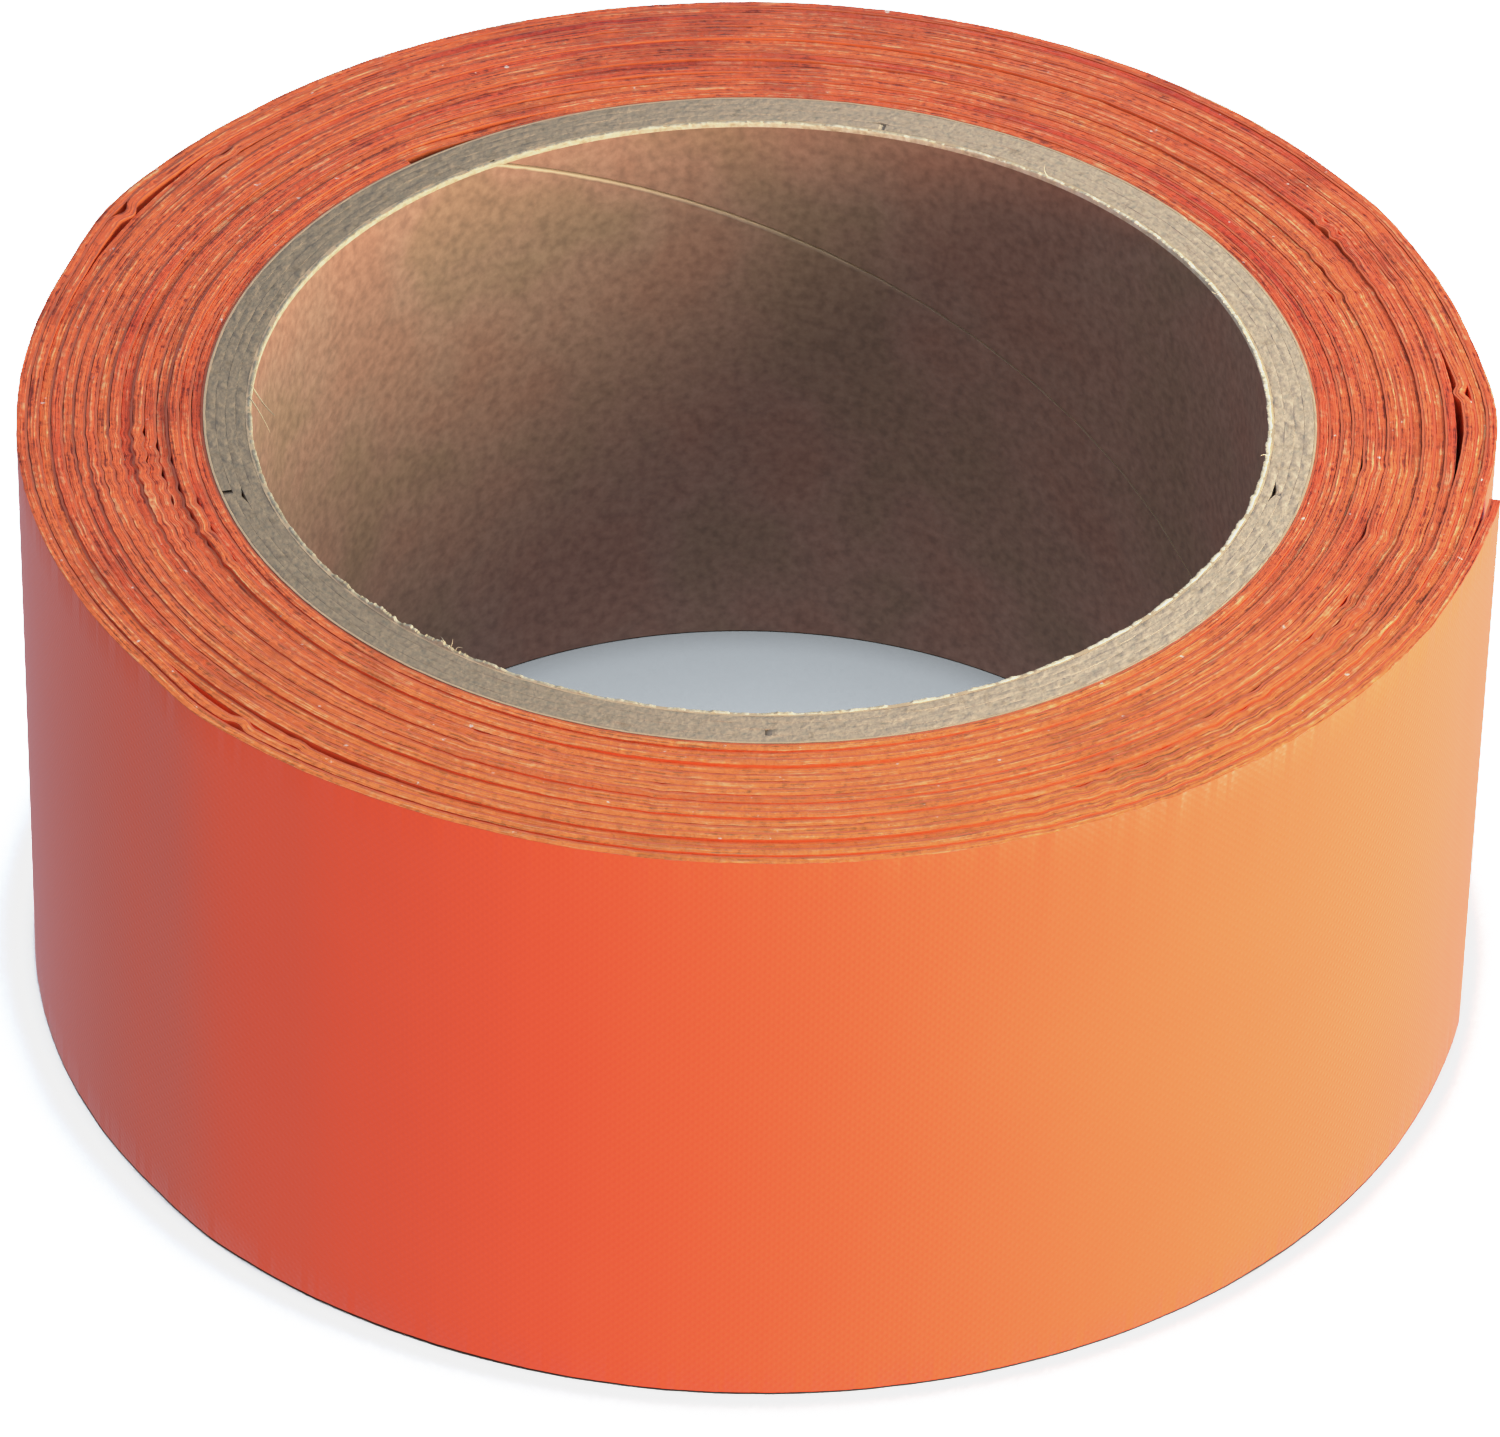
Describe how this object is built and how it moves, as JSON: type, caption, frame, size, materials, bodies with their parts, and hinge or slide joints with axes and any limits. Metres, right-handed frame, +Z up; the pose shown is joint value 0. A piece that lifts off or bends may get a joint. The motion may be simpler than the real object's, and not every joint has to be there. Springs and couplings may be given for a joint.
{
  "type": "grip tape roll",
  "caption": "Roll of wide orange self-adhesive grip tape wound on a spiral paperboard core, with a cut end that peels away from the roll.",
  "frame": {"origin": "on the core's axis, in the plane of the bottom face", "axes": "+Z up along the core's axis; the tape's cut end is at 349.5 degrees counter-clockwise from +X"},
  "size_m": [0.1114, 0.1119, 0.05],
  "materials": {
    "tape_backing": "satin",
    "adhesive": "gloss",
    "grey_board": "matte",
    "kraft_liner": "matte",
    "kraft_wrap": "matte"
  },
  "bodies": {
    "roll": {"core_inner_liner": "kraft_liner", "core_board_1": "grey_board", "core_board_2": "grey_board", "core_board_3": "grey_board", "core_board_4": "grey_board", "core_outer_wrap": "kraft_wrap", "tape_adhesive": "adhesive", "tape_backing": "tape_backing"},
    "tail_1": {"tail_adhesive_1": "adhesive", "tail_backing_1": "tape_backing"},
    "tail_2": {"tail_adhesive_2": "adhesive", "tail_backing_2": "tape_backing"},
    "tail_3": {"tail_adhesive_3": "adhesive", "tail_backing_3": "tape_backing"},
    "tail_4": {"tail_adhesive_4": "adhesive", "tail_backing_4": "tape_backing"},
    "tail_5": {"tail_adhesive_5": "adhesive", "tail_backing_5": "tape_backing"}
  },
  "joints": [
    {"name": "peel_1", "type": "hinge", "parent": "roll", "child": "tail_1", "pos_m": [0.03377, -0.04481, 0.025], "axis": [0, 0, -1], "range_deg": [0, 30]},
    {"name": "peel_2", "type": "hinge", "parent": "tail_1", "child": "tail_2", "pos_m": [0.04002, -0.03933, 0.025], "axis": [0, 0, -1], "range_deg": [0, 30]},
    {"name": "peel_3", "type": "hinge", "parent": "tail_2", "child": "tail_3", "pos_m": [0.04539, -0.03298, 0.025], "axis": [0, 0, -1], "range_deg": [0, 30]},
    {"name": "peel_4", "type": "hinge", "parent": "tail_3", "child": "tail_4", "pos_m": [0.04977, -0.02591, 0.025], "axis": [0, 0, -1], "range_deg": [0, 30]},
    {"name": "peel_5", "type": "hinge", "parent": "tail_4", "child": "tail_5", "pos_m": [0.05305, -0.01827, 0.025], "axis": [0, 0, -1], "range_deg": [0, 30]}
  ]
}
